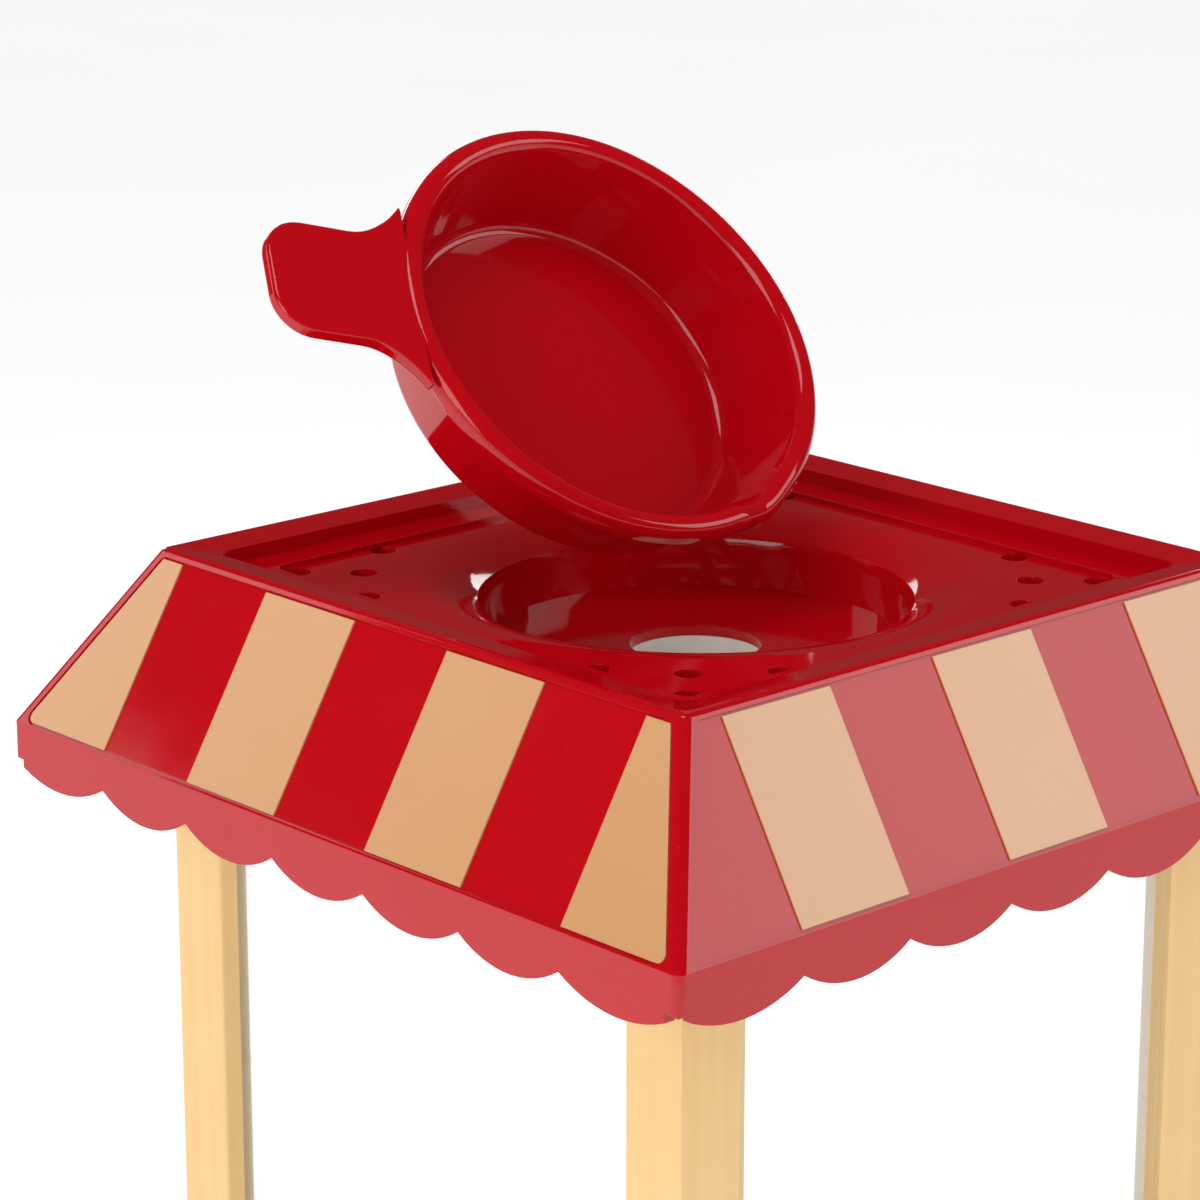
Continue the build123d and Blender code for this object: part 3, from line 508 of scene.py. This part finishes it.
def pour_lip(shape):
    """Draws the rolled rim down and out a little where the kernels pour."""
    for vert in shape.verts:
        outwards = Vector((vert.co.x, vert.co.y, 0))
        turn = Vector((cos(LIP_TURN), sin(LIP_TURN), 0)).angle(outwards, pi)
        if vert.co.z > -LIP_BAND and turn < LIP_HALF:
            share = (1 + cos(pi * turn / LIP_HALF)) / 2
            vert.co.z -= LIP_DROP * share
            vert.co += outwards.normalized() * LIP_DROP * 0.5 * share


def tab(shape):
    """Thumb tab: a flat tongue with a round end, flared where it joins the rim."""
    start = CUP_RIM_R - 3 * MM
    end = CUP_RIM_R + TAB_REACH
    edge = []
    for i in range(9):
        along = i / 8
        flare = TAB_ROOT * (1 - along) ** 2
        edge.append((start + along * TAB_FLARE, TAB_HALF + flare))
    edge += arc((end - TAB_ROUND, TAB_HALF - TAB_ROUND), TAB_ROUND, 90, 0, 10)
    outline = edge + [(x, -y) for x, y in reversed(edge)]
    top = [shape.verts.new((x, y, TAB_TOP)) for x, y in outline]
    face = shape.faces.new(top)
    raised = bmesh.ops.extrude_face_region(shape, geom=[face])
    for item in raised["geom"]:
        if isinstance(item, bmesh.types.BMVert):
            item.co.z -= TAB_THICK
    bmesh.ops.recalc_face_normals(shape, faces=shape.faces)
    bmesh.ops.rotate(shape, cent=(0, 0, 0), matrix=Matrix.Rotation(TAB_TURN, 3, "Z"), verts=shape.verts)


def piece_from(name, shape):
    mesh = bpy.data.meshes.new(name)
    shape.to_mesh(mesh)
    shape.free()
    for face in mesh.polygons:
        face.use_smooth = True
    return add_object(name, mesh)


def measuring_cup():
    bowl = lathe(cup_section(), 144, close=False)
    pour_lip(bowl)
    cup = piece_from("cup_bowl", bowl)
    tongue = bmesh.new()
    tab(tongue)
    handle = piece_from("cup_tab", tongue)
    rounding = handle.modifiers.new("rounding", "BEVEL")
    rounding.width = 1.4 * MM
    rounding.segments = 4
    rounding.angle_limit = radians(40)
    rounding.harden_normals = True
    apply_modifiers(handle)
    joined = bmesh.new()
    joined.from_mesh(cup.data)
    joined.from_mesh(handle.data)
    bmesh.ops.transform(
        joined,
        matrix=Matrix.Translation(CUP_MIDDLE) @ Matrix.Rotation(CUP_TILT, 4, "X"),
        verts=joined.verts,
    )
    bpy.data.objects.remove(cup)
    bpy.data.objects.remove(handle)
    hand_over(piece_from("pouring_cup", joined), "measuring_cup")


# ---------------------------------------------------------------- wheels

SPOKES = 10
WHEEL_STEPS = 96
HUB_R = 12 * MM
HUB_ROUND = 2 * MM
BOSS_R = 8 * MM  # the raised middle of a hub is as thick each way as it is wide
RIM_DEEP = 6 * MM
RIM_ROUND = 1.4 * MM
BEAD_HALF = 1.8 * MM  # the bead that runs round the inside of a rim
BEAD_ROUND = 0.8 * MM
BEAD_IN = 1 * MM
BEAD_OUT = 1.5 * MM
SPOKE_PROFILE = (  # width along a turned spoke, from hub to rim, against its full thickness
    (0, 0.95),
    (0.12, 0.6),
    (0.2, 0.9),
    (0.28, 0.62),
    (0.6, 0.8),
    (0.86, 0.58),
    (1, 0.8),
)
SPOKE_THICK = 6 * MM
SPOKE_RINGS = 24
SPOKE_SIDES = 16


def spokes(name, hub, rim):
    """Turned spokes round the X axis, from the hub to the rim."""
    sizes = {"Count": SPOKES, "Hub radius": hub, "Rim radius": rim, "Thickness": SPOKE_THICK}
    tree = Repeat("turned spokes", sizes)
    start = tree.vector(Z=tree.size["Hub radius"])
    end = tree.vector(Z=tree.size["Rim radius"])
    line = tree.node("GeometryNodeCurvePrimitiveLine", sockets={"Start": start, "End": end})
    line = tree.node("GeometryNodeResampleCurve", sockets={"Curve": line, "Count": SPOKE_RINGS})
    along = tree.node("GeometryNodeSplineParameter", out="Factor")
    turned = tree.node("ShaderNodeFloatCurve", {"stops": SPOKE_PROFILE}, {"Value": along})
    width = turned * tree.size["Thickness"]
    ring = tree.node(
        "GeometryNodeCurvePrimitiveCircle", sockets={"Resolution": SPOKE_SIDES, "Radius": 0.5}
    )
    spoke = tree.node(
        "GeometryNodeCurveToMesh", sockets={"Curve": line, "Profile Curve": ring, "Scale": width}
    )
    middles = tree.node(
        "GeometryNodeMeshLine", sockets={"Count": tree.size["Count"], "Offset": (0, 0, 0)}
    )
    turn = tree.node("GeometryNodeInputIndex") / tree.size["Count"] * (2 * pi)
    spread = tree.node(
        "GeometryNodeInstanceOnPoints",
        sockets={"Points": middles, "Instance": spoke, "Rotation": tree.vector(X=turn)},
    )
    return tree.make(name, spread, FINISHES["wheel_cream"], smooth=True)


def rounded_box_section(inner, outer, half, rounding):
    """Ring section with rounded corners: radii along the first axis, width along the second."""
    corners = (
        ((outer - rounding, half - rounding), 90, 0),
        ((outer - rounding, -half + rounding), 0, -90),
        ((inner + rounding, -half + rounding), -90, -180),
        ((inner + rounding, half - rounding), 180, 90),
    )
    return [point for middle, start, end in corners for point in arc(middle, rounding, start, end, 4)]


def wheel(side):
    """Cream wheel with a grooved rim, a stepped hub and turned spokes."""
    node = f"wheel_{side}"
    low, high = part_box(node)
    tyre_low, tyre_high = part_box(f"tyre_{side}")
    middle = (low + high) / 2
    middle.x = (tyre_low.x + tyre_high.x) / 2
    rim = (high.z - low.z) / 2
    half = (tyre_high.x - tyre_low.x) / 2
    bore = (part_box("axle")[1].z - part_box("axle")[0].z) / 2 + SLACK
    rim_inside = rim - RIM_DEEP
    joined = bmesh.new()
    outer = lathe(rounded_box_section(rim_inside, rim, half, RIM_ROUND), WHEEL_STEPS)
    inner, outside = rim_inside - BEAD_IN, rim_inside + BEAD_OUT
    bead = lathe(rounded_box_section(inner, outside, BEAD_HALF, BEAD_ROUND), WHEEL_STEPS)
    nave = lathe(
        [(bore, BOSS_R), (BOSS_R, BOSS_R), (8.4 * MM, 7.6 * MM)]
        + arc((HUB_R - HUB_ROUND, 5 * MM), HUB_ROUND, 80, 0, 5)
        + arc((HUB_R - HUB_ROUND, -5 * MM), HUB_ROUND, 0, -80, 5)
        + [(8.4 * MM, -7.6 * MM), (BOSS_R, -BOSS_R), (bore, -BOSS_R)],
        64,
    )
    for part in (outer, bead, nave):
        bmesh.ops.rotate(part, cent=(0, 0, 0), matrix=Matrix.Rotation(pi / 2, 3, "Y"), verts=part.verts)
        mesh = bpy.data.meshes.new("part")
        part.to_mesh(mesh)
        part.free()
        joined.from_mesh(mesh)
        bpy.data.meshes.remove(mesh)
    turned = spokes(f"spokes_{side}", HUB_R - 1.5 * MM, rim_inside + 0.5 * MM)
    joined.from_mesh(turned.data)
    bpy.data.objects.remove(turned)
    bmesh.ops.translate(joined, vec=middle, verts=joined.verts)
    hand_over(piece_from(f"spoked_wheel_{side}", joined), node)


# ---------------------------------------------------------------- screws


HEAD_R = 3.4 * MM
HEAD_FLATTENING = 0.58
SHANK_R = 1.7 * MM
SLOT = (4.2 * MM, 0.8 * MM, 1.6 * MM)
SLOT_RISE = 2.1 * MM  # middle of the cross recess above the foot of the head
CUTTER = 10 * MM  # block that takes off the lower half of a head
SCREW_INSET = 2 * MM  # height of a head inside the box of its screws


def screw_set(name, node, turn, level, length):
    """Cross-head screws at the corners of the square that the node's box gives."""
    low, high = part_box(node)
    sizes = {
        "Across": high.x - low.x - 2 * HEAD_R,
        "Head radius": HEAD_R,
        "Shank radius": SHANK_R,
        "Shank length": length,
        "Level": level,
        "Turn": turn,
    }
    tree = Repeat("screws", sizes)
    head = tree.node(
        "GeometryNodeMeshUVSphere",
        sockets={"Segments": 32, "Rings": 16, "Radius": tree.size["Head radius"]},
    )
    head = tree.moved(head, Scale=(1, 1, HEAD_FLATTENING))
    below = tree.block((2 * CUTTER, 2 * CUTTER, CUTTER), -CUTTER / 2)
    cross = [tree.block(size, SLOT_RISE) for size in (SLOT, (SLOT[1], SLOT[0], SLOT[2]))]
    head = tree.node(
        "GeometryNodeMeshBoolean",
        {"operation": "DIFFERENCE"},
        {"Mesh 1": head, "Mesh 2": [below] + cross},
    )
    shank = tree.node(
        "GeometryNodeMeshCylinder",
        sockets={
            "Vertices": 24,
            "Radius": tree.size["Shank radius"],
            "Depth": tree.size["Shank length"],
        },
    )
    drop = tree.vector(Z=tree.size["Shank length"] * -0.5)
    shank = tree.moved(shank, Translation=drop)
    screw = tree.node("GeometryNodeJoinGeometry", sockets={0: [head, shank]})
    screw = tree.moved(screw, Rotation=tree.vector(X=tree.size["Turn"]))
    across = tree.size["Across"]
    corners = tree.node(
        "GeometryNodeMeshGrid",
        sockets={"Size X": across, "Size Y": across, "Vertices X": 2, "Vertices Y": 2},
    )
    corners = tree.moved(corners, Translation=tree.vector(Z=tree.size["Level"]))
    spread = tree.node(
        "GeometryNodeInstanceOnPoints", sockets={"Points": corners, "Instance": screw}
    )
    hand_over(tree.make(name, spread, FINISHES["steel"]), node)


def screws():
    low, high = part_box("ceiling_screws")
    screw_set("roof_screws", "ceiling_screws", 0.0, high.z - SCREW_INSET, high.z - low.z - SCREW_INSET)
    low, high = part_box("base_screws")
    screw_set("floor_screws", "base_screws", pi, low.z + SCREW_INSET, high.z - low.z - SCREW_INSET)


# ---------------------------------------------------------------- studio


def camera():
    data = bpy.data.cameras.new("camera")
    data.sensor_width = 36
    data.lens = LENS
    data.clip_end = 100
    eye = add_object("camera", data)
    eye.location = EYE
    ahead = Vector((sin(LOOK_TURN) * cos(LOOK_DOWN), cos(LOOK_TURN) * cos(LOOK_DOWN), -sin(LOOK_DOWN)))
    eye.rotation_euler = ahead.to_track_quat("-Z", "Y").to_euler()
    bpy.context.scene.camera = eye


SOFTBOXES = (  # name, degrees from +Y towards +X, rise, distance, width, height, brightness
    ("right softbox", 130.9, 0.43, 1.55, 0.8, 0.6, 2.6),
    ("left softbox", -27, 0.325, 1.6, 0.55, 0.8, 1.8),
    ("left fill", -100, 0.36, 1.4, 0.8, 0.8, 3.0),
    ("top softbox", -111.8014, 3.71391, 1.3, 0.5, 0.5, 3.5),
    ("back right strip", 64, 0.22, 1.6, 0.4, 0.5, 4.0),
    ("back left strip", 21, 0.22, 1.6, 0.4, 0.5, 4.0),
)


def softbox(name, turn, rise, distance, width, height, glow):
    """Oblong light that faces the roof. glow is its brightness against white."""
    data = bpy.data.lights.new(name, "AREA")
    data.shape = "RECTANGLE"
    data.size = width
    data.size_y = height
    data.energy = glow * pi * width * height
    lamp = add_object(name, data)
    away = Vector((sin(radians(turn)), cos(radians(turn)), rise)).normalized()
    lamp.location = Vector((0, 0, AWNING_TOP)) + away * distance
    lamp.rotation_euler = (-away).to_track_quat("-Z", "Y").to_euler()
    lamp.visible_camera = False


def floor():
    shape = bmesh.new()
    bmesh.ops.create_grid(shape, x_segments=8, y_segments=8, size=20)
    stand = piece_from("floor", shape)
    stand.location.z = cad_box[0][2]
    finish = Finish("pale floor")
    cloud = finish.noise(3, 3, 0.5)
    base = finish.blend(cloud, (0.86, 0.86, 0.86, 1), (0.9, 0.9, 0.9, 1))
    glow = {"Emission Color": (1, 1, 1, 1), "Emission Strength": 0.42}
    stand.data.materials.append(finish.surface(base, 0.7 + cloud * 0.1, **glow))


def surroundings():
    """White all round for soft light and the background, and nearly dark in reflections."""
    world = bpy.data.worlds.new("studio")
    bpy.context.scene.world = world
    world.use_nodes = True
    air = Nodes(world.node_tree)
    shade = air.node("ShaderNodeBackground", sockets={"Color": WHITE, "Strength": 0.62})
    for ray, level in (("Is Camera Ray", 1.0), ("Is Glossy Ray", 0.05)):
        seen = air.node("ShaderNodeLightPath", out=ray)
        light = air.node("ShaderNodeBackground", sockets={"Color": WHITE, "Strength": level})
        shade = air.node("ShaderNodeMixShader", sockets={0: seen, 1: shade, 2: light})
    air.node("ShaderNodeOutputWorld", sockets={"Surface": shade})


for name, width in SOFTENED.items():
    soften(name, width)
measuring_cup()
for side in ("left", "right"):
    wheel(side)
screws()
camera()
floor()
surroundings()
for light in SOFTBOXES:
    softbox(*light)
bpy.context.scene.view_settings.view_transform = "Standard"
